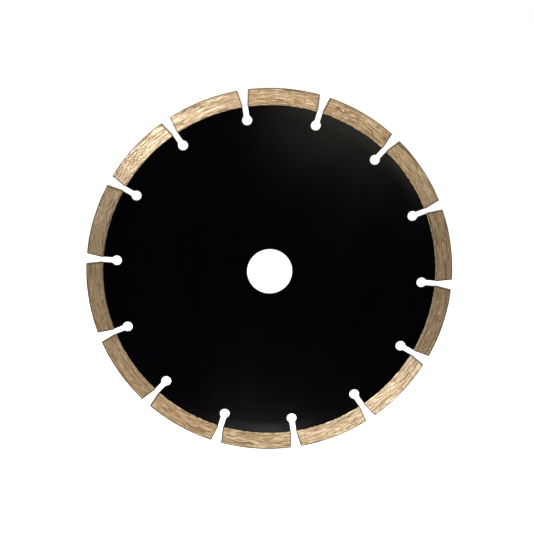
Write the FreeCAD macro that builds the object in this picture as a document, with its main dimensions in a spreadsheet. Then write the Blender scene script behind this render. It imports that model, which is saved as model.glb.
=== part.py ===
import FreeCAD, Part
import os
import Sketcher

# Segmented diamond blade, 180 mm, for a 22.23 mm arbor.
#
# The frame: the origin is at the centre of the bore, half-way through the steel. +Y is the spin
# axis and points away from the front face. +Z goes up through the middle of segment 01, and the
# segments are numbered anticlockwise as seen from the front. All sizes are in millimetres.
#
# The pieces, in the order in which they are joined:
#   steel_core          the disc, with its bore and a keyhole slot between each pair of segments
#   braze_seam_NN       silver solder between the core's rim and a segment, a fillet on each side
#   segment_foot_NN     the layer without diamonds at the bottom of a segment, which is soldered
#   diamond_segment_NN  the layer with diamonds in it, which does the cutting

# Driving dimensions: alias, value, what it measures.
DIMENSIONS = [
    ("outer_dia", 180.0, "blade across the tips of the segments"),
    ("bore_dia", 22.23, "arbor bore"),
    ("core_thick", 1.6, "steel core"),
    ("edge_break", 0.1, "chamfer on the core's rim, slots and bore"),
    ("slot_width", 2.7, "keyhole slot, its parallel part"),
    ("keyhole_dia", 4.9, "keyhole slot, its round end"),
    ("keyhole_pitch", 75.15, "from the bore's axis to the middle of the round end"),
    ("neck_round", 1.0, "where a slot's sides run into its round end"),
    ("seg_count", 14, "segments, and slots, round the rim"),
    ("seg_thick", 2.4, "segment, which stands proud of the core on both sides"),
    ("seg_height", 8.0, "segment from foot to tip, both layers"),
    ("foot_height", 1.0, "segment's layer without diamonds"),
    ("foot_length", 34.3, "segment across its foot, corner to corner"),
    ("tip_length", 35.1, "segment across its tip, corner to corner"),
    ("corner_round", 0.3, "segment's corners as seen from the front"),
    ("edge_round", 0.15, "segment's edges round both faces"),
    ("braze_gap", 0.15, "solder between the core's rim and the segment's foot"),
    ("braze_inset", 0.1, "from the end of the core's rim to the end of the solder"),
]

# What the checks and searches below take as close enough, in millimetres, mm3 or as a cosine.
CUT_CLEARANCE = 5  # how far a cutting outline reaches past the tips
LEAST_CUT = 1e-6  # a cut that takes away less than this has missed
SAME_RADIUS = 0.01
FLAT_EDGE = 0.01  # an edge no deeper than this lies in the front or the back
THROUGH_EDGE = 1.0  # an edge deeper than this runs from the front to the back
FACING = 0.99  # how nearly the normal of the front or the back follows the spin axis

# Sizes that follow from the driving dimensions, as expressions on the sheet.
TIP_RADIUS = "dims.outer_dia / 2"
FOOT_RADIUS = "(dims.outer_dia / 2 - dims.seg_height)"
PARTING_RADIUS = f"({FOOT_RADIUS} + dims.foot_height)"
RIM_RADIUS = f"({FOOT_RADIUS} - dims.braze_gap)"
BEYOND_TIP = f"({TIP_RADIUS} + {CUT_CLEARANCE})"
PITCH_ANGLE = "360 deg / dims.seg_count"
SLOT_HALF_ANGLE = f"asin((dims.slot_width / 2 + dims.braze_inset) / {RIM_RADIUS})"
SOLDERED_ANGLE = f"{PITCH_ANGLE} - 2 * {SLOT_HALF_ANGLE}"

# How Sketcher numbers the points of a curve, and the axes that every sketch starts with.
START, END, CENTRE = 1, 2, 3
X_AXIS, Y_AXIS = -1, -2
ORIGIN = (-1, START)

FRONT_PLANE = "XZ_Plane"  # its sketches have x to the right and y up, as seen from the front
SIDE_PLANE = "YZ_Plane"  # its sketches have x along the spin axis and y up


def make_document():
    """A document whose spreadsheet, dims, holds the driving dimensions."""
    document = FreeCAD.newDocument("diamond_blade")
    dims = document.addObject("Spreadsheet::Sheet", "dims")
    for row, (alias, value, meaning) in enumerate(DIMENSIONS, start=1):
        dims.set(f"A{row}", meaning)
        dims.set(f"B{row}", str(value))
        dims.setAlias(f"B{row}", alias)
    document.recompute()
    return document


def origin_feature(body, role):
    """The body's own origin plane or axis of that role."""
    return next(feature for feature in body.Origin.OriginFeatures if feature.Role == role)


def point(x, y):
    """A point of a sketch."""
    return FreeCAD.Vector(x, y, 0)


# ------------------------------------------------------------------------------ sketch helpers


def new_sketch(body, name, plane):
    sketch = body.newObject("Sketcher::SketchObject", name)
    sketch.AttachmentSupport = [(origin_feature(body, plane), "")]
    sketch.MapMode = "FlatFace"
    return sketch


def join(sketch, *pairs):
    """Makes the two (curve, point) of each pair coincide."""
    for first, second in pairs:
        sketch.addConstraint(Sketcher.Constraint("Coincident", *first, *second))


def mirror(sketch, *pairs):
    """Makes the two (curve, point) of each pair each other's mirror image across the y axis."""
    for first, second in pairs:
        sketch.addConstraint(Sketcher.Constraint("Symmetric", *first, *second, Y_AXIS))


def drive(sketch, name, expression, kind, *where):
    """Adds a dimension of that name to the sketch and binds it to the expression."""
    value = float(sketch.evalExpression(expression))
    index = sketch.addConstraint(Sketcher.Constraint(kind, *where, value))
    sketch.renameConstraint(index, name)
    sketch.setExpression(f"Constraints.{name}", expression)


def circle(sketch, name, radius):
    """A circle about the origin, its radius given by an expression."""
    value = float(sketch.evalExpression(radius))
    curve = sketch.addGeometry(Part.Circle(point(0, 0), FreeCAD.Vector(0, 0, 1), value), False)
    join(sketch, ((curve, CENTRE), ORIGIN))
    drive(sketch, name, radius, "Radius", curve)


# ----------------------------------------------------------------------------- feature helpers


def pad(body, sketch, name, thickness):
    """The sketch made solid, half of the thickness on each side of its plane."""
    feature = body.newObject("PartDesign::Pad", name)
    feature.Profile = sketch
    feature.Midplane = True
    feature.setExpression("Length", thickness)
    body.Document.recompute()
    return feature


def cut_through(body, sketch, name):
    """The sketch cut out of the whole thickness."""
    before = body.Tip
    feature = body.newObject("PartDesign::Pocket", name)
    feature.Profile = sketch
    feature.Type = "ThroughAll"
    feature.Midplane = True
    body.Document.recompute()
    require_less(feature, before)
    return feature


def dress(body, kind, name, subnames, size_property, size):
    """A Fillet or Chamfer on the named edges or faces of what the body is so far."""
    before = body.Tip
    feature = body.newObject(f"PartDesign::{kind}", name)
    feature.Base = (before, subnames)
    feature.setExpression(size_property, size)
    body.Document.recompute()
    require_less(feature, before)
    return feature


def require_less(feature, before):
    """Stops the build if a feature that takes material away took none."""
    if feature.Shape.isNull() or feature.Shape.Volume > before.Shape.Volume - LEAST_CUT:
        raise SystemExit(f"{feature.Name} took nothing away from {before.Name}")


def runs_through(edge):
    """Whether the edge goes from the front to the back."""
    return edge.BoundBox.YLength > THROUGH_EDGE


def lies_on_face(edge):
    """Whether the edge lies in the front or the back."""
    return edge.BoundBox.YLength < FLAT_EDGE


# ---------------------------------------------------------------------------------- steel core


def keyhole_outline(body):
    """A keyhole slot along +X: the round end at its pitch, the mouth open beyond the rim."""
    sketch = new_sketch(body, "keyhole_outline", FRONT_PLANE)
    bottom, neck, mouth, half = 72.5, 77.0, 95.0, 1.4  # a first shape, which the dimensions settle
    round_end = Part.Arc(point(neck, half), point(bottom, 0), point(neck, -half))
    upper_side = Part.LineSegment(point(neck, half), point(mouth, half))
    lower_side = Part.LineSegment(point(neck, -half), point(mouth, -half))
    across = Part.LineSegment(point(mouth, half), point(mouth, -half))
    hole, upper, lower, end = sketch.addGeometry([round_end, upper_side, lower_side, across], False)
    join(
        sketch,
        ((hole, START), (upper, START)),
        ((hole, END), (lower, START)),
        ((upper, END), (end, START)),
        ((lower, END), (end, END)),
    )
    sketch.addConstraint(Sketcher.Constraint("PointOnObject", hole, CENTRE, X_AXIS))
    sketch.addConstraint(Sketcher.Constraint("Symmetric", end, START, end, END, X_AXIS))
    sketch.addConstraint(Sketcher.Constraint("Horizontal", upper))
    sketch.addConstraint(Sketcher.Constraint("Horizontal", lower))
    drive(sketch, "hole_dia", "dims.keyhole_dia", "Diameter", hole)
    drive(sketch, "hole_pitch", "dims.keyhole_pitch", "DistanceX", *ORIGIN, hole, CENTRE)
    drive(sketch, "width", "dims.slot_width", "DistanceY", end, END, end, START)
    drive(sketch, "reach", BEYOND_TIP, "DistanceX", *ORIGIN, end, START)
    return sketch


def flat_faces(shape):
    """The names of the flat faces at the front and the back of the shape."""
    names = []
    for number, face in enumerate(shape.Faces, start=1):
        if isinstance(face.Surface, Part.Plane) and abs(face.Surface.Axis.y) > FACING:
            names.append(f"Face{number}")
    return names


def neck_edges(shape, keyhole_pitch, keyhole_dia):
    """The names of the edges through the disc where a slot's sides meet its round end."""
    names = []
    for number, edge in enumerate(shape.Edges, start=1):
        corner = edge.Vertexes[0]
        past_hole_centre = (corner.X**2 + corner.Z**2) ** 0.5 - keyhole_pitch
        if runs_through(edge) and 0 < past_hole_centre < keyhole_dia / 2:
            names.append(f"Edge{number}")
    return names


def make_core(document):
    """The disc with its bore, a slot cut in its rim, the slot repeated, and its edges rounded."""
    body = document.addObject("PartDesign::Body", "steel_core")
    outline = new_sketch(body, "disc_outline", FRONT_PLANE)
    circle(outline, "rim_radius", RIM_RADIUS)
    circle(outline, "bore_radius", "dims.bore_dia / 2")
    pad(body, outline, "disc", "dims.core_thick")
    slot = cut_through(body, keyhole_outline(body), "keyhole_slot")
    ring = body.newObject("PartDesign::PolarPattern", "keyhole_slots")
    ring.Originals = [slot]
    ring.Axis = (origin_feature(body, "Y_Axis"), [""])
    ring.Angle = 360
    ring.setExpression("Occurrences", "dims.seg_count")
    body.Tip = ring
    document.recompute()
    require_less(ring, slot)
    necks = neck_edges(ring.Shape, document.dims.keyhole_pitch, document.dims.keyhole_dia)
    dress(body, "Fillet", "rounded_necks", necks, "Radius", "dims.neck_round")
    faces = flat_faces(body.Tip.Shape)
    dress(body, "Chamfer", "broken_edges", faces, "Size", "dims.edge_break")
    return body


# ------------------------------------------------------------------------------------ segments


def segment_outline(body):
    """A segment on +Z as seen from the front: arcs at its foot and tip, straight ends."""
    sketch = new_sketch(body, "segment_outline", FRONT_PLANE)
    foot, tip, half = 80.0, 88.0, 17.0  # a first shape, which the dimensions settle
    foot_arc = Part.Arc(point(half, foot), point(0, foot + 2), point(-half, foot))
    tip_arc = Part.Arc(point(half, tip), point(0, tip + 2), point(-half, tip))
    left_end = Part.LineSegment(point(-half, foot), point(-half, tip))
    right_end = Part.LineSegment(point(half, foot), point(half, tip))
    inner, outer, left, right = sketch.addGeometry([foot_arc, tip_arc, left_end, right_end], False)
    join(
        sketch,
        ((inner, CENTRE), ORIGIN),
        ((outer, CENTRE), ORIGIN),
        ((inner, START), (right, START)),
        ((inner, END), (left, START)),
        ((outer, START), (right, END)),
        ((outer, END), (left, END)),
    )
    sketch.addConstraint(Sketcher.Constraint("Horizontal", inner, START, inner, END))
    sketch.addConstraint(Sketcher.Constraint("Horizontal", outer, START, outer, END))
    drive(sketch, "foot_radius", FOOT_RADIUS, "Radius", inner)
    drive(sketch, "tip_radius", TIP_RADIUS, "Radius", outer)
    drive(sketch, "foot_length", "dims.foot_length", "DistanceX", left, START, right, START)
    drive(sketch, "tip_length", "dims.tip_length", "DistanceX", left, END, right, END)
    return sketch


def free_edges(shape, parting_radius, wanted):
    """The names of the wanted edges, without those where the two layers meet."""
    names = []
    for number, edge in enumerate(shape.Edges, start=1):
        radii = [(vertex.X**2 + vertex.Z**2) ** 0.5 for vertex in edge.Vertexes]
        on_parting = all(abs(radius - parting_radius) < SAME_RADIUS for radius in radii)
        if wanted(edge) and not on_parting:
            names.append(f"Edge{number}")
    return names


def make_layer(document, name, index, is_diamond):
    """One layer of a segment: the diamond layer, or the foot below it."""
    body = document.addObject("PartDesign::Body", name)
    pad(body, segment_outline(body), "whole_segment", "dims.seg_thick")
    other_layer = new_sketch(body, "other_layer", FRONT_PLANE)
    circle(other_layer, "parting_radius", PARTING_RADIUS)
    if not is_diamond:
        circle(other_layer, "beyond_tip", BEYOND_TIP)
    cut_through(body, other_layer, "layer")
    parting_radius = other_layer.getDatum("parting_radius").Value
    corners = free_edges(body.Tip.Shape, parting_radius, runs_through)
    dress(body, "Fillet", "rounded_corners", corners, "Radius", "dims.corner_round")
    edges = free_edges(body.Tip.Shape, parting_radius, lies_on_face)
    dress(body, "Fillet", "rounded_edges", edges, "Radius", "dims.edge_round")
    turn_to_segment(body, index)
    return body


# -------------------------------------------------------------------------------------- solder


def seam_section(body):
    """The solder cut through on +Z: it fills the gap, and a hollow fillet spreads on each side."""
    sketch = new_sketch(body, "seam_section", SIDE_PLANE)
    low, rim, foot = 81.75, 81.85, 82.0  # a first shape, which the dimensions settle
    inside, corner, outside, bulge = 0.7, 0.8, 1.05, 0.07
    curves = [
        Part.LineSegment(point(-outside, foot), point(outside, foot)),
        Part.LineSegment(point(-inside, rim), point(inside, rim)),
        Part.LineSegment(point(inside, rim), point(corner, low)),
        Part.LineSegment(point(-inside, rim), point(-corner, low)),
        Part.Arc(point(outside, foot), point(corner + bulge, foot - bulge), point(corner, low)),
        Part.Arc(point(-corner, low), point(-corner - bulge, foot - bulge), point(-outside, foot)),
    ]
    on_foot, on_rim, right_break, left_break, right, left = sketch.addGeometry(curves, False)
    join(
        sketch,
        ((on_foot, END), (right, START)),
        ((right, END), (right_break, END)),
        ((right_break, START), (on_rim, END)),
        ((on_rim, START), (left_break, START)),
        ((left_break, END), (left, START)),
        ((left, END), (on_foot, START)),
    )
    mirror(
        sketch,
        ((on_foot, START), (on_foot, END)),
        ((on_rim, START), (on_rim, END)),
        ((left_break, END), (right_break, END)),
    )
    sketch.addConstraint(Sketcher.Constraint("Vertical", left, CENTRE, left, END))
    sketch.addConstraint(Sketcher.Constraint("Vertical", right, CENTRE, right, START))
    sketch.addConstraint(Sketcher.Constraint("Horizontal", right, CENTRE, right, END))
    drive(sketch, "foot_radius", FOOT_RADIUS, "DistanceY", *ORIGIN, on_foot, END)
    drive(sketch, "rim_radius", RIM_RADIUS, "DistanceY", *ORIGIN, on_rim, END)
    drive(sketch, "face", "dims.core_thick / 2", "DistanceX", *ORIGIN, right_break, END)
    rim_end, face_end = (right_break, START), (right_break, END)
    drive(sketch, "break_height", "dims.edge_break", "DistanceY", *face_end, *rim_end)
    drive(sketch, "break_width", "dims.edge_break", "DistanceX", *rim_end, *face_end)
    return sketch


def make_seam(document, name, index):
    """The solder under one segment: its section swung about the spin axis."""
    body = document.addObject("PartDesign::Body", name)
    sketch = seam_section(body)
    seam = body.newObject("PartDesign::Revolution", "swung_section")
    seam.Profile = sketch
    seam.ReferenceAxis = (sketch, ["H_Axis"])
    seam.Midplane = True
    seam.setExpression("Angle", SOLDERED_ANGLE)
    turn_to_segment(body, index)
    return body


def turn_to_segment(body, index):
    """Turns a body made on +Z to its place in the ring; index 0 stays on +Z."""
    towards_front = FreeCAD.Vector(0, -1, 0)
    any_angle = 1.0  # it gives the rotation its axis, and the expression then sets the angle
    body.Placement = FreeCAD.Placement(point(0, 0), FreeCAD.Rotation(towards_front, any_angle))
    body.setExpression("Placement.Rotation.Angle", f"{index} * {PITCH_ANGLE}")


# --------------------------------------------------------------------------- check and export


def check(document, bodies):
    """Stops the build if any object failed or any body is not one valid solid."""
    for feature in document.Objects:
        if {"Invalid", "Error"} & set(feature.State):
            raise SystemExit(f"{feature.Label} failed: {feature.State}")
    for body in bodies:
        shape = body.Shape
        if shape.isNull() or not shape.isValid() or len(shape.Solids) != 1:
            raise SystemExit(f"{body.Label} is not one valid solid")


def export(bodies):
    """Writes each body to its own STEP file, named by its label."""
    os.makedirs("parts", exist_ok=True)
    for body in bodies:
        body.Shape.exportStep(f"parts/{body.Label}.step")


blade = make_document()
pieces = [make_core(blade)]
for index in range(int(blade.dims.seg_count)):
    number = f"{index + 1:02d}"
    pieces.append(make_seam(blade, f"braze_seam_{number}", index))
    pieces.append(make_layer(blade, f"segment_foot_{number}", index, is_diamond=False))
    pieces.append(make_layer(blade, f"diamond_segment_{number}", index, is_diamond=True))
blade.recompute()
check(blade, pieces)
export(pieces)
print(len(pieces), "pieces, total volume", round(sum(piece.Shape.Volume for piece in pieces)), "mm3")
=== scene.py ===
import math

import bpy
import numpy as np
from mathutils import Matrix, Vector


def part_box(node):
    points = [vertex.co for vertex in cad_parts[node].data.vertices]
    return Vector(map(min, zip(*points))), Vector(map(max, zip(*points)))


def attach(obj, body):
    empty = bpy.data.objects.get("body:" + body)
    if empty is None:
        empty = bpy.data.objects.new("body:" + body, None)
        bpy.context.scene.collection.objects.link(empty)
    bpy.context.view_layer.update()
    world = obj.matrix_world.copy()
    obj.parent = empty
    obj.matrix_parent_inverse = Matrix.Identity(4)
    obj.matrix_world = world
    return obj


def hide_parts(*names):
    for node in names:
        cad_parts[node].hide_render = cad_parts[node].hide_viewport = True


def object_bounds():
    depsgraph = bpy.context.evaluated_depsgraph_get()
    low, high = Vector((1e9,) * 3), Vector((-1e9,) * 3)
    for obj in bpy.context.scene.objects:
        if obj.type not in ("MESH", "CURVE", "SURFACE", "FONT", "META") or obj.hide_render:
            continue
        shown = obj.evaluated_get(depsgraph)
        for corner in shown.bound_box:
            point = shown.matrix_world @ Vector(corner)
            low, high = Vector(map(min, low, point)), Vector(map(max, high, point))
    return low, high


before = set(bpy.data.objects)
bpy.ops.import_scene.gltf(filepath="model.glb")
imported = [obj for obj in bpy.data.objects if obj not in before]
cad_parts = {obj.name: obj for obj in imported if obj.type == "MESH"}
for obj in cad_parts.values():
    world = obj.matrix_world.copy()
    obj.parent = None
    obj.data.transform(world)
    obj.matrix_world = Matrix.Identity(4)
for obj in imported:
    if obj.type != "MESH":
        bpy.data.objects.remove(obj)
cad_low, cad_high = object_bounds()

# A segmented diamond blade, upright, its front face towards -Y and its spin axis along Y.
# Lengths are in metres unless a name or a comment says millimetres. Angles are in degrees where
# a name ends in _DEG. Colours are linear red, green and blue.

MM = 0.001

# ------------------------------------------------------------------------------- camera and stage

CAMERA_DISTANCE = 0.882
CAMERA_ELEVATION_DEG = 9.54
CAMERA_AZIMUTH_DEG = -2.46
CAMERA_ROLL_DEG = -4.475
CAMERA_LENS_MM = 120.85
AIM_LEFT = 1.32 * MM  # the camera aims this far to the left of the blade's axis
AIM_UP = 2.09 * MM  # and this far above it

FLOOR_BELOW_BLADE = 0.16
FLOOR_REACH = 14.0
FLOOR_GLOW = 0.69
WHITE = (1.0, 1.0, 1.0)

# What the blade reflects: heights from -1 (straight down) to 1 (straight up) and how bright it is there.
REFLECTED = [
    (-1.0, 1.60),
    (-0.65, 1.60),
    (-0.42, 0.40),
    (-0.29, 0.001),
    (0.12, 0.001),
    (0.24, 0.20),
    (0.42, 1.30),
    (0.65, 2.40),
    (1.0, 2.40),
]
REFLECTED_TINT = (1.0, 0.94, 0.84)
AMBIENT = 0.36
AMBIENT_TINT = (1.0, 0.90, 0.76)

# Each light: name, azimuth, elevation, size, power in watts, colour.
LIGHT_DISTANCE = 1.3
LIGHTS = [
    ("key", -41, 30, 0.30, 24, (0.93, 1.0, 1.12)),
    ("fill", 22, 38, 1.00, 3.6, (1.0, 0.98, 0.93)),
    ("low_sheen", 3, -20.8, 0.10, 0.040, (1.0, 1.0, 0.95)),
    ("sheen", 8.2, 3, 0.26, 0.13, (1.0, 0.98, 0.80)),
    ("back_key", 214, 33, 0.45, 12, (1.0, 0.98, 0.94)),
]


def direction(azimuth_deg, elevation_deg):
    """A unit vector from the blade; azimuth 0 is straight out of its front face, 90 is to its right."""
    azimuth = math.radians(azimuth_deg)
    elevation = math.radians(elevation_deg)
    level = math.cos(elevation)
    return Vector((math.sin(azimuth) * level, -math.cos(azimuth) * level, math.sin(elevation)))


def viewing_axes(forward, upright):
    """The rotation of a camera or light that looks along forward, as near to upright as it can be."""
    forward = forward.normalized()
    right = forward.cross(upright).normalized()
    up = right.cross(forward)
    return Matrix((right, up, -forward)).transposed()


def make_camera():
    data = bpy.data.cameras.new("camera")
    data.lens = CAMERA_LENS_MM
    camera = bpy.data.objects.new("camera", data)
    bpy.context.scene.collection.objects.link(camera)
    place = direction(CAMERA_AZIMUTH_DEG, CAMERA_ELEVATION_DEG) * CAMERA_DISTANCE
    roll = math.radians(CAMERA_ROLL_DEG)
    upright = Vector((math.sin(roll), 0, math.cos(roll)))
    axes = viewing_axes(-place, upright)
    aim = axes.col[1] * AIM_UP - axes.col[0] * AIM_LEFT
    axes = viewing_axes(aim - place, upright)
    camera.matrix_world = Matrix.Translation(place) @ axes.to_4x4()
    bpy.context.scene.camera = camera


def make_light(name, azimuth_deg, elevation_deg, size, power, colour):
    """A square light that looks at the blade's centre."""
    data = bpy.data.lights.new(name, "AREA")
    data.shape = "SQUARE"
    data.size = size
    data.energy = power
    data.color = colour
    light = bpy.data.objects.new(name, data)
    bpy.context.scene.collection.objects.link(light)
    place = direction(azimuth_deg, elevation_deg) * LIGHT_DISTANCE
    axes = viewing_axes(-place, Vector((0, 0, 1)))
    light.matrix_world = Matrix.Translation(place) @ axes.to_4x4()
    light.visible_camera = False


# ----------------------------------------------------------------------------------- shader nodes


class Nodes:
    """Short calls for adding nodes to a node tree."""

    def __init__(self, tree):
        self.tree = tree

    def add(self, kind, inputs=(), **settings):
        """A new node; inputs maps socket names or numbers to values or to other nodes' outputs."""
        node = self.tree.nodes.new("ShaderNode" + kind)
        for setting, value in settings.items():
            setattr(node, setting, value)
        for socket, value in dict(inputs).items():
            self.set(node, socket, value)
        return node

    def set(self, node, socket, value):
        """Links an output to the node's socket, or sets the socket's own number, vector or colour."""
        if isinstance(value, bpy.types.NodeSocket):
            self.tree.links.new(value, node.inputs[socket])
        elif node.inputs[socket].type == "RGBA":
            node.inputs[socket].default_value = (*value, 1)
        else:
            node.inputs[socket].default_value = value

    def math(self, operation, *values):
        return self.add("Math", enumerate(values), operation=operation).outputs[0]

    def ramp(self, value, stops):
        """A colour ramp; stops are (position, colour)."""
        node = self.add("ValToRGB", {0: value})
        elements = node.color_ramp.elements
        while len(elements) < len(stops):
            elements.new(0.5)
        for element, (position, colour) in zip(elements, stops):
            element.position = position
            element.color = (*colour, 1)
        return node.outputs[0]


class Shader(Nodes):
    """A material with a Principled shader, and short calls for the patterns that feed it."""

    def __init__(self, name):
        self.material = bpy.data.materials.new(name)
        self.material.use_nodes = True
        super().__init__(self.material.node_tree)
        self.surface = self.tree.nodes["Principled BSDF"]

    def finish(self, **inputs):
        """Sets the Principled shader's inputs, their names written with _ for a space."""
        for socket, value in inputs.items():
            self.set(self.surface, socket.replace("_", " "), value)
        return self.material

    def object_place(self):
        return self.add("TexCoord").outputs["Object"]

    def mark(self, name):
        """A number that the mesh keeps for each of its points."""
        return self.add("Attribute", attribute_name=name).outputs["Fac"]

    def grain(self):
        """Millimetres along and across the grinding, and a third number that differs by piece."""
        return self.add("Attribute", attribute_name="grain").outputs["Vector"]

    def noise(self, place, scale, detail=2, roughness=0.5):
        """Noise from 0 to 1; scale is cells per unit of the place, one number or one for each axis."""
        if isinstance(scale, tuple):
            place = self.add("Mapping", {"Vector": place, "Scale": scale}).outputs[0]
            scale = 1.0
        sockets = {"Vector": place, "Scale": scale, "Detail": detail, "Roughness": roughness}
        return self.add("TexNoise", sockets).outputs[0]

    def noises(self, place, table):
        """The table's noises by name; its rows are what follows the place in noise()."""
        return {name: self.noise(place, *row) for name, row in table.items()}

    def stretch(self, value, span, to=(0, 1)):
        """value carried smoothly from one span of numbers on to another, and held inside it."""
        sockets = enumerate((value, *span, *to))
        return self.add("MapRange", sockets, interpolation_type="SMOOTHSTEP").outputs[0]

    def times(self, value, factor):
        return self.math("MULTIPLY", value, factor)

    def plus(self, value, other):
        return self.math("ADD", value, other)

    def invert(self, value):
        return self.math("SUBTRACT", 1.0, value)

    def mix(self, share, first, second):
        """The first colour where share is 0, the second where it is 1."""
        # A Mix node has sockets for each kind of data: 6, 7 and the output 2 are the colours.
        sockets = {0: share, 6: first, 7: second}
        return self.add("Mix", sockets, data_type="RGBA").outputs[2]

    def bumps(self, *layers):
        """Bumps one on another; layers are (height, how many metres a height of 1 stands for)."""
        sockets = {}
        for height, distance in layers:
            sockets.update({"Height": height, "Distance": distance})
            sockets["Normal"] = self.add("Bump", sockets).outputs[0]
        return sockets["Normal"]


# ---------------------------------------------------------------------------------- black enamel

# Noises of the paint and the bore: cells per metre, in all or in x, y and z; detail; roughness.
ENAMEL_NOISES = {
    "broad": (18, 3),
    "fine": (900, 3, 0.6),
    "speck": (1500, 2, 0.7),
    "ring": ((60, 3600, 60), 3, 0.6),
    "wiped": ((45, 45, 11.25), 4, 0.6),
    "peel": (620, 2, 0.45),
}
PAINT_DARK = (0.0001, 0.0, 0.0003)
PAINT_PALE = (0.0003, 0.0001, 0.0005)
SPECK_COLOUR = (0.002, 0.002, 0.002)
SPECK_SPAN = (0.74, 0.80)
SPECK_SHARE = 0.2
TURNED_STEEL = [(0.3, (0.012, 0.011, 0.010)), (0.7, (0.045, 0.042, 0.038))]
BORE_FADE = (0.02 * MM, 0.06 * MM)  # the paint starts this far outside the bore's wall
FINE_GLOSS_SHARE = 0.3
GLOSS_SPAN = (0.4, 0.95)
ENAMEL_ROUGHNESS = (0.12, 0.165)
ENAMEL_IOR = 1.5
PEEL_HEIGHT = 0.003 * MM
RIM_FALL = 0.10 * MM  # the paint seems to fall this much towards the rim
RIM_FALL_WIDTH = 6 * MM  # over this width


def black_enamel(bore_radius, core_radius):
    """The core's paint: black, semi-gloss, with orange peel; the bore's wall is turned steel."""
    shader = Shader("black_enamel")
    place = shader.object_place()
    noise = shader.noises(place, ENAMEL_NOISES)
    parts = shader.add("SeparateXYZ", {0: place}).outputs
    level = shader.add("CombineXYZ", {0: parts[0], 2: parts[2]}).outputs[0]
    radius = shader.add("VectorMath", {0: level}, operation="LENGTH").outputs["Value"]
    in_bore = shader.stretch(radius, [bore_radius + fade for fade in BORE_FADE], (1, 0))

    specks = shader.stretch(noise["speck"], SPECK_SPAN)
    paint = shader.mix(noise["broad"], PAINT_DARK, PAINT_PALE)
    paint = shader.mix(shader.times(specks, SPECK_SHARE), paint, SPECK_COLOUR)
    steel = shader.ramp(noise["ring"], TURNED_STEEL)
    gloss = shader.plus(noise["wiped"], shader.times(noise["fine"], FINE_GLOSS_SHARE))

    inward = shader.math("DIVIDE", shader.math("SUBTRACT", core_radius, radius), RIM_FALL_WIDTH)
    outward = shader.invert(shader.math("MINIMUM", inward, 1.0))
    fall = shader.invert(shader.times(outward, outward))
    return shader.finish(
        Base_Color=shader.mix(in_bore, paint, steel),
        Metallic=in_bore,
        Roughness=shader.stretch(gloss, GLOSS_SPAN, ENAMEL_ROUGHNESS),
        IOR=ENAMEL_IOR,
        Normal=shader.bumps((noise["peel"], PEEL_HEIGHT), (fall, RIM_FALL)),
    )


# ------------------------------------------------------------------------------- sintered bronze

# Noises of ground bronze: cells per millimetre, in all or along and across the grinding and in the
# third number, which only differs by piece; detail; roughness.
BRONZE_NOISES = {
    "coarse": ((0.13, 1.5, 1), 3, 0.6),
    "middle": ((0.30, 4.0, 1), 3, 0.65),
    "hair": ((0.8, 14, 1), 2, 0.6),
    "patch": ((0.12, 0.3, 1), 2, 0.5),
    "powder": (7.0, 2, 0.6),
    "wave": ((0.10, 4.5, 1), 2, 0.5),
    "pore": (4.2, 2, 0.5),
}
SHADE_SHARES = {"coarse": 0.22, "middle": 0.26, "hair": 0.26, "patch": 0.12, "powder": 0.14}
TONE_SHARE = 0.05
SHADE_SPAN = (0.38, 0.64)
CREST_MIDDLE_SHARE = 1.2
CREST_SPAN = (0.75, 1.45)
SCRATCH_SPAN = (0.0, 0.030)  # a scratch is this near to where the wave noise crosses its middle
PORE_SPAN = (0.68, 0.75)
# What darkens the bronze, real stains and a painted shade along the edges: how much of it shows, and its
# colour.
SCRATCH_STAIN = (0.45, (0.130, 0.080, 0.038))
PORE_STAIN = (0.7, (0.055, 0.034, 0.018))
SCORE_STAIN = (0.60, (0.090, 0.052, 0.018))
# painted shade along the segment's edges and over its tip and ends, not a stain
PAINTED_EDGE_SHADE = (0.9, (0.050, 0.038, 0.027))
# From the troughs to the crests:
BRONZE_METALLIC = (0.68, 0.86)
BRONZE_ROUGHNESS = (0.52, 0.42)
SCORE_ROUGHNESS = 0.10
BRONZE_IOR = 2.3
BRONZE_ANISOTROPY = 0.95
MIDDLE_BUMP = 0.040 * MM
PIT_BUMP = 0.012 * MM
HAIR_BUMP = 0.045 * MM
POWDER_BUMP = 0.016 * MM

# The two bronzes: a dark and a pale colour in the troughs and on the crests, and extra roughness.
MATRIX_TROUGH = (0.28, 0.170, 0.075), (0.53, 0.365, 0.195)
MATRIX_CREST = (0.43, 0.290, 0.150), (0.82, 0.69, 0.48)
MATRIX_DULLNESS = 0.0
FOOT_TROUGH = (0.26, 0.160, 0.070), (0.44, 0.30, 0.15)
FOOT_CREST = (0.47, 0.34, 0.18), (0.76, 0.61, 0.39)
FOOT_DULLNESS = -0.03


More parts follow.
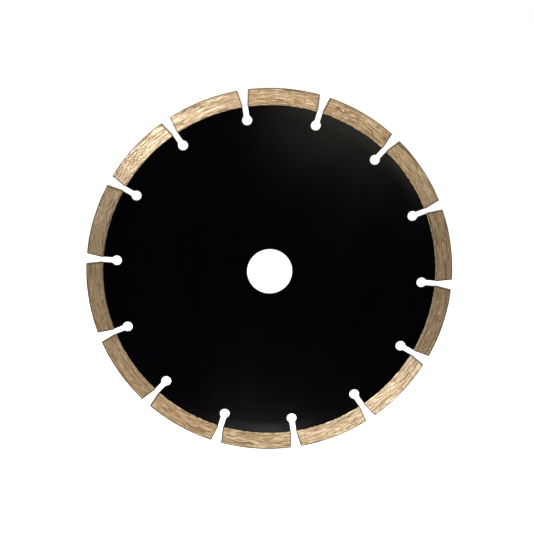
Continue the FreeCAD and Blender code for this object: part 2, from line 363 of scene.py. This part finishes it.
def sintered_bronze(name, trough, crest, dullness):
    """Ground sintered bronze: brown and dull in its troughs, pale and bright on its crests.

    The mesh says how far each point is along and across the grinding, how high on a crest it is,
    how deep in a score, how much painted shade it gets near an edge, and the tone of the whole piece.
    """
    shader = Shader(name)
    noise = shader.noises(shader.grain(), BRONZE_NOISES)
    score = shader.mark("score")

    shade = 0.0
    for kind, share in SHADE_SHARES.items():
        shade = shader.plus(shade, shader.times(noise[kind], share))
    shade = shader.plus(shade, shader.times(shader.mark("tone"), TONE_SHARE))
    shade = shader.stretch(shade, SHADE_SPAN)
    lifted = shader.plus(shader.mark("crest"), shader.times(noise["middle"], CREST_MIDDLE_SHARE))
    clean = shader.stretch(lifted, CREST_SPAN)
    metal = shader.mix(clean, shader.mix(shade, *trough), shader.mix(shade, *crest))

    off_centre = shader.math("ABSOLUTE", shader.math("SUBTRACT", noise["wave"], 0.5))
    scratch = shader.stretch(off_centre, SCRATCH_SPAN, (1, 0))
    pore = shader.stretch(noise["pore"], PORE_SPAN)
    stains_and_edge_shade = [
        (scratch, SCRATCH_STAIN),
        (pore, PORE_STAIN),
        (score, SCORE_STAIN),
        # painted shade along the segment's edges and over its tip and ends
        (shader.mark("painted_edge_shade"), PAINTED_EDGE_SHADE),
    ]
    for where, (share, colour) in stains_and_edge_shade:
        metal = shader.mix(shader.times(where, share), metal, colour)

    dulled = [roughness + dullness for roughness in BRONZE_ROUGHNESS]
    worn = shader.stretch(clean, (0, 1), dulled)
    unpitted = shader.invert(shader.math("MAXIMUM", scratch, pore))
    return shader.finish(
        Base_Color=metal,
        Metallic=shader.stretch(clean, (0, 1), BRONZE_METALLIC),
        IOR=BRONZE_IOR,
        Roughness=shader.plus(worn, shader.times(score, SCORE_ROUGHNESS)),
        Anisotropic=BRONZE_ANISOTROPY,
        Tangent=shader.add("Tangent", direction_type="UV_MAP", uv_map="along").outputs[0],
        Normal=shader.bumps(
            (noise["middle"], MIDDLE_BUMP),
            (unpitted, PIT_BUMP),
            (noise["hair"], HAIR_BUMP),
            (noise["powder"], POWDER_BUMP),
        ),
    )


# ------------------------------------------------------------------------ the smaller materials

# Noises as in ENAMEL_NOISES.
CRYSTAL_NOISES = {"tint": (900,), "growth": (5000,)}
CRYSTAL_COLOURS = [(0.35, (0.13, 0.12, 0.075)), (0.65, (0.36, 0.34, 0.22))]
CRYSTAL_ROUGHNESS = 0.16
CRYSTAL_IOR = 2.1
CRYSTAL_BUMP = 0.004 * MM

# Noises as in BRONZE_NOISES. The solder is pale where it is clean and brown where flux burnt on it.
SOLDER_NOISES = {"burnt": ((0.5, 2, 1), 3, 0.6), "ripple": ((2.2, 1, 1), 2, 0.6)}
SOLDER_COLOURS = [
    (0.38, (0.62, 0.52, 0.38)),
    (0.55, (0.28, 0.20, 0.12)),
    (0.70, (0.05, 0.033, 0.02)),
]
SOLDER_METALLIC = 0.85
SOLDER_BURNT_SPAN = (0.35, 0.65)
SOLDER_ROUGHNESS = (0.28, 0.55)
SOLDER_BUMP = 0.02 * MM

FLOOR_MOTTLE = (3, 3)
FLOOR_COLOURS = [(0.3, (0.90, 0.90, 0.90)), (0.7, (0.93, 0.93, 0.93))]
FLOOR_ROUGHNESS = 0.9


def diamond_crystal():
    shader = Shader("diamond_crystal")
    noise = shader.noises(shader.object_place(), CRYSTAL_NOISES)
    return shader.finish(
        Base_Color=shader.ramp(noise["tint"], CRYSTAL_COLOURS),
        Roughness=CRYSTAL_ROUGHNESS,
        IOR=CRYSTAL_IOR,
        Normal=shader.bumps((noise["growth"], CRYSTAL_BUMP)),
    )


def silver_solder():
    shader = Shader("silver_solder")
    noise = shader.noises(shader.grain(), SOLDER_NOISES)
    return shader.finish(
        Base_Color=shader.ramp(noise["burnt"], SOLDER_COLOURS),
        Metallic=SOLDER_METALLIC,
        Roughness=shader.stretch(noise["burnt"], SOLDER_BURNT_SPAN, SOLDER_ROUGHNESS),
        Normal=shader.bumps((noise["ripple"], SOLDER_BUMP)),
    )


def pale_floor():
    shader = Shader("pale_floor")
    mottle = shader.noise(shader.object_place(), *FLOOR_MOTTLE)
    return shader.finish(
        Base_Color=shader.ramp(mottle, FLOOR_COLOURS),
        Roughness=FLOOR_ROUGHNESS,
        Emission_Color=WHITE,
        Emission_Strength=FLOOR_GLOW,
    )


# ------------------------------------------------------------------------------- floor and world


def make_floor():
    height = cad_low.z - FLOOR_BELOW_BLADE
    corners = [(-1, -1), (1, -1), (1, 1), (-1, 1)]
    points = [(x * FLOOR_REACH, y * FLOOR_REACH, height) for x, y in corners]
    mesh = bpy.data.meshes.new("floor")
    mesh.from_pydata(points, [], [(0, 1, 2, 3)])
    mesh.materials.append(pale_floor())
    floor = bpy.data.objects.new("floor", mesh)
    bpy.context.scene.collection.objects.link(floor)
    floor.visible_glossy = False


def make_world():
    """White to look at, a dim warm light on rough surfaces, and in the blade's reflections a studio.

    The studio is a pale floor, a dark middle and a bright ceiling.
    """
    world = bpy.data.worlds.new("studio")
    bpy.context.scene.world = world
    world.use_nodes = True
    world.node_tree.nodes.clear()
    nodes = Nodes(world.node_tree)

    def background(colour, brightness):
        return nodes.add("Background", {"Color": colour, "Strength": brightness}).outputs[0]

    def choose(share, first, second):
        return nodes.add("MixShader", {0: share, 1: first, 2: second}).outputs[0]

    place = nodes.add("TexCoord").outputs["Generated"]
    height = nodes.add("SeparateXYZ", {0: place}).outputs[2]
    upward = nodes.math("MULTIPLY_ADD", height, 0.5, 0.5)
    stops = []
    for position, level in REFLECTED:
        stops.append(((position + 1) / 2, [level * tint for tint in REFLECTED_TINT]))
    reflected = background(nodes.ramp(upward, stops), 1.0)
    ambient = background(AMBIENT_TINT, AMBIENT)
    path = nodes.add("LightPath").outputs
    unseen = choose(path["Is Glossy Ray"], ambient, reflected)
    mixed = choose(path["Is Camera Ray"], unseen, background(WHITE, 1.0))
    nodes.add("OutputWorld", {0: mixed}).is_active_output = True


# ------------------------------------------------------------------------- the blade's own shape

SAME_PLACE = 0.01 * MM


def node_points(node):
    return [vertex.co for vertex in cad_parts[node].data.vertices]


def node_radii(node):
    """How far each vertex of a CAD node is from the spin axis."""
    return np.array([math.hypot(point.x, point.z) for point in node_points(node)])


def around_axis(radius, angle, out):
    """Points at a radius and an angle from +Z towards +X, and at out along Y."""
    return np.stack([radius * np.sin(angle), out, radius * np.cos(angle)], axis=-1)


class Segment:
    """The outline of segment 01, read from the frame: it stands on +Z, and the others are its copies.

    Its own lengths run along it from its middle, up from its foot and out of the blade's mid-plane.
    """

    def __init__(self):
        foot = node_radii("segment_foot_01")
        layer = node_radii("diamond_segment_01")
        self.foot_radius = foot.min()
        self.parting = foot.max() - self.foot_radius
        self.height = layer.max() - self.foot_radius
        self.half_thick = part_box("diamond_segment_01")[1].y
        points = node_points("diamond_segment_01")
        at_parting = [point for point, radius in zip(points, layer) if radius < foot.max() + SAME_PLACE]
        inner = max(at_parting, key=lambda point: point.x)
        outer = max(points, key=lambda point: point.x)
        slope = (outer.x - inner.x) / (outer.z - inner.z)
        self.lean = math.atan(slope)
        self.end_offset = (inner.x - slope * inner.z) * math.cos(self.lean)
        self.half_length = inner.x
        self.low = np.array([-self.half_length, 0, -self.half_thick])
        self.high = np.array([self.half_length, self.height, self.half_thick])
        self.count = sum(name.startswith("diamond_segment_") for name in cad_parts)

    def end_angle(self, radius):
        """The angle from the segment's middle to its straight end, at that radius."""
        return self.lean + np.arcsin(self.end_offset / radius)

    def turned(self, number):
        """The angle by which segment number is turned from segment 01."""
        return number * 2 * math.pi / self.count

    def place(self, along, up, out, number):
        """Where points of segment number are in the frame, from the segment's own lengths."""
        radius = self.foot_radius + up
        angle = along / self.half_length * self.end_angle(radius) - self.turned(number)
        return around_axis(radius, angle, out)


segment = Segment()

# ---------------------------------------------------------------------------------- noise, relief

# Every random number comes from one of these seeds with the number of the segment.
SEED = 180
FOOT_SEED = 0
LAYER_SEED = 10
BEAD_SEED = 7

# A ground face: cells are in millimetres along and across the grinding. Heights are in relief depths.
WANDER_CELL = (10, 3)
WANDER_MM = 0.22  # how far the streaks wander sideways
SWELL_CELL = (12, 1.4)
SWELL_SHARE = 0.08
STREAK_CELLS = [(7.0, 0.46), (3.6, 0.25)]
STREAK_SHARE = 0.46
STREAK_SUNK = 0.8  # how far the bottom of a streak is below the face
SCORES = [((10.0, 0.60), 0.16, 1.0), ((6.0, 0.36), 0.15, 0.8)]  # cell, width, strength
SCORE_BREAKS = (-0.05, 0.15)
SCORE_DEPTH = 0.8
FACE_SUNK = 0.15
CREST_HEIGHTS = (-0.40, 0.45)


def smooth_noise(random, along, across, cell):
    """Smooth noise from -1 to 1 with cells of that size, at points given by two arrays."""
    u = along / cell[0]
    v = across / cell[1]
    u = u - u.min()
    v = v - v.min()
    table = random.uniform(-1, 1, (int(u.max()) + 3, int(v.max()) + 3))
    i = u.astype(int)
    j = v.astype(int)
    s = smooth_step(u - i)
    t = smooth_step(v - j)
    low = table[i, j] * (1 - s) + table[i + 1, j] * s
    high = table[i, j + 1] * (1 - s) + table[i + 1, j + 1] * s
    return low * (1 - t) + high * t


def smooth_step(share):
    return share * share * (3 - 2 * share)


def rise(value, low, high):
    """0 below low, 1 above high, and smooth between them."""
    return smooth_step(np.clip((value - low) / (high - low), 0, 1))


def score_lines(random, along, across, cell, width):
    """Where long thin scores run, from 0 to 1: along the zero lines of a noise, broken by another."""
    line = np.abs(smooth_noise(random, along, across, cell))
    broken = smooth_noise(random, along, across, (cell[0] / 2, cell[1]))
    return (1 - rise(line, width / 2, width * 1.5)) * rise(broken, *SCORE_BREAKS)


def ground_relief(random, along, across, depth):
    """The height of a ground face, and from 0 to 1 how deep in a score and high on a crest it is."""
    along = along / MM
    across = across / MM
    across = across + WANDER_MM * smooth_noise(random, along, across, WANDER_CELL)
    waves = SWELL_SHARE * smooth_noise(random, along, across, SWELL_CELL)
    for cell in STREAK_CELLS:
        streak = 2 * np.abs(smooth_noise(random, along, across, cell)) - STREAK_SUNK
        waves = waves + STREAK_SHARE * streak
    score = np.zeros(len(along))
    for cell, width, strength in SCORES:
        score = np.maximum(score, score_lines(random, along, across, cell, width) * strength)
    crest = rise(waves, *CREST_HEIGHTS) * (1 - score)
    return depth * (waves - SCORE_DEPTH * score - FACE_SUNK), score, crest


# ------------------------------------------------------------------------------- mesh generation

EDGE_ROUND = 0.16 * MM
EDGE_ANGLES_DEG = [45, 30, 15, 0]
STEP_ALONG = 0.30 * MM
STEP_UP = 0.11 * MM
STEP_OUT = 0.22 * MM
UP = 1  # the number of the axis that runs up, after along and before out
FRONT = -1  # the ground faces; front and back are also the sign of the lengths out
BACK = 1
TIP = 0
TINY = 1e-12
GRAIN_SHIFTS = (0, 100)
UV_PER_METRE = 10


def edge_steps(length, step, round_start, round_end):
    """Positions from 0 to length: even in the middle, and closing up over each rounded end."""
    bend = EDGE_ROUND * (1 - np.tan(np.radians(EDGE_ANGLES_DEG)))
    start = bend if round_start else np.array([0.0])
    end = length - bend[::-1] if round_end else np.array([length])
    count = max(2, int(round((end[0] - start[-1]) / step)) + 1)
    middle = np.linspace(start[-1], end[0], count)
    return np.concatenate([start[:-1], middle, end[1:]])


def side_index(axis, end):
    """What picks one side of an array with three axes: its start where end is 0, its end where -1."""
    index = [slice(None)] * 3
    index[axis] = end
    return tuple(index)


class Block:
    """A closed block of faces over a grid of lengths along, up and out.

    Its lowest or highest side may be open, where it joins its neighbour. Straight quads close that
    side, from the front edge to the back edge.
    """

    def __init__(self, steps, open_low, open_high):
        is_open = {(UP, 0): open_low, (UP, -1): open_high}
        sides = [(axis, end) for axis in range(3) for end in (0, -1)]
        on_side = np.zeros([len(axis) for axis in steps], bool)
        for axis, end in sides:
            if not is_open.get((axis, end)):
                on_side[side_index(axis, end)] = True
        self.index = np.full(on_side.shape, -1)
        self.index[on_side] = np.arange(on_side.sum())
        grid = np.meshgrid(*steps, indexing="ij")
        self.points = np.stack([axis[on_side] for axis in grid], axis=-1)
        self.faces = []
        self.smooth = []
        for axis, end in sides:
            if is_open.get((axis, end)):
                self.keep(self.closing(end), smooth=False)
            else:
                self.keep(self.covering(axis, end), smooth=True)

    def keep(self, faces, smooth):
        self.faces += faces
        self.smooth += [smooth] * len(faces)

    def covering(self, axis, end):
        """Quads over one side of the grid, facing out of the block."""
        side = self.index[side_index(axis, end)]
        quads = np.stack([side[:-1, :-1], side[1:, :-1], side[1:, 1:], side[:-1, 1:]], axis=-1)
        quads = quads.reshape(-1, 4)
        if (axis == UP) == (end == 0):
            quads = quads[:, ::-1]
        return quads.tolist()

    def closing(self, end):
        """Quads straight from the front edge to the back edge, and a polygon at each end of them."""
        side = self.index[side_index(UP, end)]
        front = side[:, 0]
        back = side[:, -1]
        faces = [[front[i], back[i], back[i + 1], front[i + 1]] for i in range(len(front) - 1)]
        faces.append(side[0, :].tolist())
        faces.append(side[-1, ::-1].tolist())
        if end == -1:
            faces = [face[::-1] for face in faces]
        return faces


def rounded(points):
    """The points of the segment's box moved on to its rounded edges, and their normals."""
    inner = np.clip(points, segment.low + EDGE_ROUND, segment.high - EDGE_ROUND)
    away = points - inner
    length = np.linalg.norm(away, axis=1, keepdims=True)
    normal = np.where(length > 0, away / np.maximum(length, TINY), 0)
    return np.where(length > 0, inner + normal * EDGE_ROUND, points), normal


def make_object(name, vertices, faces, materials):
    mesh = bpy.data.meshes.new(name)
    mesh.from_pydata(vertices.tolist(), [], faces)
    for material in materials:
        mesh.materials.append(material)
    piece = bpy.data.objects.new(name, mesh)
    bpy.context.scene.collection.objects.link(piece)
    return piece


def store_number(mesh, name, values):
    """Keeps one number for each vertex of the mesh, for its material to read."""
    values = np.asarray(values, np.float32)
    mesh.attributes.new(name, "FLOAT", "POINT").data.foreach_set("value", values)


def store_grain(mesh, random, along, across):
    """Keeps millimetres along and across the grinding for each vertex, and a random third number."""
    shift = np.full(len(along), random.uniform(*GRAIN_SHIFTS))
    values = np.stack([along, across, shift], axis=-1).astype(np.float32)
    mesh.attributes.new("grain", "FLOAT_VECTOR", "POINT").data.foreach_set("vector", values.ravel())


def store_grinding_direction(mesh, along, across):
    """A UV map whose first direction runs across the grinding and whose second runs along it."""
    corners = np.zeros(len(mesh.loops), int)
    mesh.loops.foreach_get("vertex_index", corners)
    places = (np.stack([across, along], axis=-1) * UV_PER_METRE).astype(np.float32)
    mesh.uv_layers.new(name="along").data.foreach_set("uv", places[corners].ravel())


# --------------------------------------------------------------------------------------- crystals

CRYSTALS_PER_FACE = 55
CRYSTAL_SIZES = (0.15 * MM, 0.23 * MM)
CRYSTAL_STRETCH = (0.85, 1.15)
CRYSTAL_PROUD = (0.02 * MM, 0.07 * MM)
CRYSTAL_REACH = 0.96  # of the segment's half length
CRYSTAL_MARGIN = 0.7 * MM
WHOLE_TURN = 6.28
SAME_REACH = 1e-6

# The relief beside a crystal, in crystal sizes: what it reaches, the pit and the ridge.
TAIL_LENGTH = 14
TAIL_WIDTH = 4
PIT_DEPTH = 0.14
PIT_BEFORE = 0.9
PIT_SPREAD = 1.8
RIDGE_HEIGHT = 0.18
RIDGE_SPREAD = 0.7
RIDGE_START = (-0.5, 0.8)
RIDGE_END = (1.5, 8.0)


class Crystals:
    """Diamond crystals that stand a little proud of a segment's front and back."""

    def __init__(self, random, low_up):
        count = CRYSTALS_PER_FACE * 2
        lowest = low_up + CRYSTAL_MARGIN
        highest = segment.height - CRYSTAL_MARGIN
        self.side = np.repeat([FRONT, BACK], CRYSTALS_PER_FACE)
        self.along = random.uniform(-CRYSTAL_REACH, CRYSTAL_REACH, count) * segment.half_length
        self.up = random.uniform(lowest, highest, count)
        self.size = random.uniform(*CRYSTAL_SIZES, count)

    def tails(self, along, up, side):
        """The pit in front of each crystal on that side, and the ridge it shelters behind it."""
        height = np.zeros(len(along))
        for x, z, size, where in zip(self.along, self.up, self.size, self.side):
            if where != side:
                continue
            near = (np.abs(up - z) < TAIL_WIDTH * size) & (np.abs(along - x) < TAIL_LENGTH * size)
            dx = (along[near] - x) / size
            dz = (up[near] - z) / size
            pit = PIT_DEPTH * np.exp(-((dx + PIT_BEFORE) ** 2 + dz**2) / PIT_SPREAD)
            ridge = RIDGE_HEIGHT * np.exp(-(dz**2) / RIDGE_SPREAD)
            ridge = ridge * rise(dx, *RIDGE_START) * (1 - rise(dx, *RIDGE_END))
            height[near] += size * (ridge - pit)
        return height

    def build(self, random, surface, number):
        """Vertices and faces of all the crystals of a segment, each sunk into the surface under it."""
        corners, faces = truncated_octahedron()
        vertices = []
        polygons = []
        for x, z, size, side in zip(self.along, self.up, self.size, self.side):
            turn = Matrix.Rotation(random.uniform(0, WHOLE_TURN), 3, random.normal(size=3))
            shape = corners * size * random.uniform(*CRYSTAL_STRETCH, 3) @ np.array(turn)
            sunk = shape[:, 1].max() - random.uniform(*CRYSTAL_PROUD)
            out = side * (segment.half_thick + surface.height_near(x, z, side) - sunk)
            centre = segment.place(np.array([x]), np.array([z]), np.array([out]), number)
            first = len(vertices) * len(corners)
            polygons += [[corner + first for corner in face] for face in faces]
            vertices.append(shape + centre)
        return np.concatenate(vertices), polygons


def truncated_octahedron():
    """Its 24 corners, at distance 1, and its 14 faces."""
    corners = []
    for zero in range(3):
        for first in (-1, 1):
            for second in (-1, 1):
                for near, far in ((1, 2), (2, 1)):
                    corner = [0.0, 0.0, 0.0]
                    corner[(zero + 1) % 3] = first * near
                    corner[(zero + 2) % 3] = second * far
                    corners.append(corner)
    corners = np.array(corners) / math.sqrt(5)
    signs = (-1, 1)
    normals = [np.eye(3)[axis] * sign for axis in range(3) for sign in signs]
    normals += [np.array([x, y, z]) / math.sqrt(3) for x in signs for y in signs for z in signs]
    faces = []
    for normal in normals:
        reach = corners @ normal
        face = np.flatnonzero(reach > reach.max() - SAME_REACH)
        centre = corners[face].mean(axis=0)
        first = corners[face[0]] - centre
        second = np.cross(normal, first)
        turn = np.arctan2((corners[face] - centre) @ second, (corners[face] - centre) @ first)
        faces.append(face[np.argsort(turn)].tolist())
    return corners, faces


# --------------------------------------------------------------------------------- ground layers

LAYER_RELIEF = 0.18 * MM
FOOT_RELIEF = 0.02 * MM
FACE_FADE = (0.02 * MM, 0.3 * MM)  # the relief fades out towards a face's edges
TIP_FADE = (0.05 * MM, 0.35 * MM)
TIP_SHADE_SPAN = (0.22 * MM, 0.70 * MM)  # the painted shade along the faces' edges fades out over this
END_SHADE_SPAN = (0.30 * MM, 0.90 * MM)
SIDE_SHADE = 0.8  # how much painted shade darkens the tip and the ends
UNGROUND_CREST = 0.3
BACK_GRAIN_SHIFT = 20 * MM
TONES = (-0.5, 0.5)
ON_FACE = 1e-9


class GroundSurface:
    """The relief, the marks and the painted edge shade of a layer of a segment, at points given by
    along, up and out.
    """

    def __init__(self, random, flat, depth, crystals):
        self.along, self.up, self.out = flat.T
        self.faces = {
            FRONT: self.out <= segment.low[2] + ON_FACE,
            BACK: self.out >= segment.high[2] - ON_FACE,
            TIP: self.up >= segment.high[1] - ON_FACE,
        }
        self.to_end = np.minimum(self.along - segment.low[0], segment.high[0] - self.along)
        self.height = np.zeros(len(flat))
        self.score = np.zeros(len(flat))
        self.crest = np.full(len(flat), UNGROUND_CREST)
        for side, face in self.faces.items():
            if face.any():
                self.grind(random, side, face, depth)
            if crystals and side != TIP:
                self.height[face] += crystals.tails(self.along[face], self.up[face], side)
        self.height = self.height * self.fade()
        self.painted_edge_shade = self.paint_edge_shade()
        self.girth = self.way_round()

    def grind(self, random, side, face, depth):
        across = self.out if side == TIP else self.up
        relief = ground_relief(random, self.along[face], across[face], depth)
        self.height[face], self.score[face], self.crest[face] = relief

    def fade(self):
        """What the relief is multiplied by, so that it ends before a face's edges."""
        to_edge = np.minimum.reduce([self.up, segment.height - self.up, self.to_end])
        fade = rise(to_edge, *FACE_FADE)
        tip = self.faces[TIP]
        to_edge = np.minimum(segment.half_thick - np.abs(self.out), self.to_end)
        fade[tip] = rise(to_edge[tip], *TIP_FADE)
        return fade

    def paint_edge_shade(self):
        """How much painted shade darkens each point, from 0 to 1: most along the tip's and the ends'
        edges, and all over the other sides.
        """
        at_tip = 1 - rise(segment.height - self.up, *TIP_SHADE_SPAN)
        at_end = 1 - rise(self.to_end, *END_SHADE_SPAN)
        on_face = self.faces[FRONT] | self.faces[BACK]
        return np.where(on_face, np.maximum(at_tip, at_end), SIDE_SHADE)

    def way_round(self):
        """The length across the grinding, which has a range of its own on each face."""
        sides = np.where(self.out < 0, self.up, self.up + BACK_GRAIN_SHIFT)
        return np.where(self.faces[TIP], segment.height + self.out, sides)

    def height_near(self, along, up, side):
        """The height of the front or the back at its point nearest to a place."""
        face = self.faces[side]
        nearest = np.argmin((self.along[face] - along) ** 2 + (self.up[face] - up) ** 2)
        return self.height[face][nearest]


def layer_steps(from_up, to_up):
    """The grid of a layer along, up and out, finer over its rounded edges."""
    along = edge_steps(2 * segment.half_length, STEP_ALONG, True, True) - segment.half_length
    up = edge_steps(to_up - from_up, STEP_UP, from_up == 0, to_up == segment.height) + from_up
    out = edge_steps(2 * segment.half_thick, STEP_OUT, True, True) - segment.half_thick
    return [along, up, out]


def layer_mesh(name, number, from_up, to_up, seed, depth, materials):
    """One layer of a segment as a closed mesh with ground faces, from one height to another.

    A second material, if there is one, is for the crystals set in its faces.
    """
    random = np.random.default_rng([SEED, number, seed])
    block = Block(layer_steps(from_up, to_up), from_up > 0, to_up < segment.height)
    crystals = Crystals(random, from_up) if len(materials) > 1 else None
    surface = GroundSurface(random, block.points, depth, crystals)
    shaped, normal = rounded(block.points)
    shaped = shaped + normal * surface.height[:, None]
    vertices = segment.place(*shaped.T, number)
    faces = list(block.faces)
    along = surface.along
    across = surface.girth
    if crystals:
        extra, extra_faces = crystals.build(random, surface, number)
        faces += [[corner + len(vertices) for corner in face] for face in extra_faces]
        vertices = np.concatenate([vertices, extra])
        along = np.concatenate([along, extra[:, 0]])
        across = np.concatenate([across, extra[:, 2]])

    piece = make_object(name, vertices, faces, materials)
    mesh = piece.data
    is_crystal = np.arange(len(faces)) >= len(block.faces)
    mesh.polygons.foreach_set("use_smooth", np.pad(block.smooth, (0, is_crystal.sum())))
    mesh.polygons.foreach_set("material_index", is_crystal.astype(np.int32))
    store_grain(mesh, random, along / MM, across / MM)
    store_grinding_direction(mesh, along, across)
    padding = (0, len(vertices) - len(block.points))
    store_number(mesh, "score", np.pad(surface.score, padding))
    # painted shade near the edges and over the tip and ends, for the material to darken
    store_number(mesh, "painted_edge_shade", np.pad(surface.painted_edge_shade, padding))
    store_number(mesh, "crest", np.pad(surface.crest, padding))
    store_number(mesh, "tone", np.full(len(vertices), random.uniform(*TONES)))
    mesh.update()
    return piece


# ---------------------------------------------------------------------------------- solder bead

BEAD_STEPS = 240
BEAD_SECTIONS = 7
BEAD_END_GAP = 0.3 * MM
BEAD_MM = 0.26  # its width and height, in millimetres
BEAD_RIPPLE_MM = 0.07
LONG_RIPPLE_CELL = (1.6, 1.0)
SHORT_RIPPLE_CELL = (0.5, 1.0)
SHORT_RIPPLE_SHARE = 0.5
JOINT_INSET = 0.1 * MM


def bead_side(random, length, side, core_half_thick):
    """The lines along one side of the bead, as radius and out, from the core's face to the foot."""
    level = np.zeros(len(length))
    ripple = smooth_noise(random, length, level, LONG_RIPPLE_CELL)
    ripple = ripple + SHORT_RIPPLE_SHARE * smooth_noise(random, length, level, SHORT_RIPPLE_CELL)
    size = (BEAD_MM + BEAD_RIPPLE_MM * ripple) * MM
    lines = []
    for share in np.linspace(0, 1, BEAD_SECTIONS):
        bend = share * math.pi / 2
        radius = segment.foot_radius - size * (1 - math.sin(bend))
        out = core_half_thick + size * (1 - math.cos(bend))
        lines.append(np.stack([radius, side * out], axis=-1))
    return lines


def bead_mesh(name, number, core_rim, core_half_thick, material):
    """Solder between the core's rim and a segment's foot: a bead along each side, joined through."""
    random = np.random.default_rng([SEED, number, BEAD_SEED])
    steps = np.linspace(-1, 1, BEAD_STEPS)
    reach = segment.end_angle(segment.foot_radius) - BEAD_END_GAP / segment.foot_radius
    length = steps * reach * segment.foot_radius / MM
    front = bead_side(random, length, FRONT, core_half_thick)
    back = bead_side(random, length, BACK, core_half_thick)
    inset = core_half_thick - JOINT_INSET
    joint = [np.tile((core_rim, out), (BEAD_STEPS, 1)) for out in (-inset, inset)]
    ring = np.stack(front[::-1] + joint + back, axis=1)
    radius = ring[..., 0]
    out = ring[..., 1]
    angle = (steps * reach - segment.turned(number))[:, None]
    points = around_axis(radius, angle, out)

    index = np.arange(radius.size).reshape(radius.shape)
    after = np.roll(index, -1, axis=1)
    faces = np.stack([index[:-1], after[:-1], after[1:], index[1:]], axis=-1)
    faces = faces.transpose(1, 0, 2).reshape(-1, 4).tolist()
    faces.append(index[0, ::-1].tolist())
    faces.append(index[-1].tolist())
    piece = make_object(name, points.reshape(-1, 3), faces, [material])
    along = np.repeat(length, radius.shape[1])
    store_grain(piece.data, random, along, radius.ravel() / MM + out.ravel() / MM)
    return piece


# ------------------------------------------------------------------------------------- the blade


def make_core():
    """The core stays the CAD's own shape, with a better material."""
    radii = node_radii("steel_core")
    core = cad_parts["steel_core"]
    core.data.materials.clear()
    core.data.materials.append(black_enamel(radii.min(), radii.max()))


def make_segments():
    """Each segment's diamond layer, foot and solder, in place of the three CAD nodes."""
    matrix = sintered_bronze("diamond_bronze", MATRIX_TROUGH, MATRIX_CREST, MATRIX_DULLNESS)
    plain = sintered_bronze("foot_bronze", FOOT_TROUGH, FOOT_CREST, FOOT_DULLNESS)
    solder = silver_solder()
    crystal = diamond_crystal()
    core_rim = node_radii("steel_core").max()
    core_half_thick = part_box("steel_core")[1].y
    top = segment.height
    parting = segment.parting
    for number in range(segment.count):
        label = f"{number + 1:02d}"
        name = f"ground_segment_{label}"
        layer = layer_mesh(name, number, parting, top, LAYER_SEED, LAYER_RELIEF, [matrix, crystal])
        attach(layer, "root")
        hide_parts(f"diamond_segment_{label}")
        name = f"ground_foot_{label}"
        foot = layer_mesh(name, number, 0.0, parting, FOOT_SEED, FOOT_RELIEF, [plain])
        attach(foot, "root")
        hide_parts(f"segment_foot_{label}")
        bead = bead_mesh(f"solder_bead_{label}", number, core_rim, core_half_thick, solder)
        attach(bead, "root")
        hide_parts(f"braze_seam_{label}")


bpy.context.scene.view_settings.view_transform = "Standard"
make_camera()
make_world()
for light in LIGHTS:
    make_light(*light)
make_floor()
make_core()
make_segments()
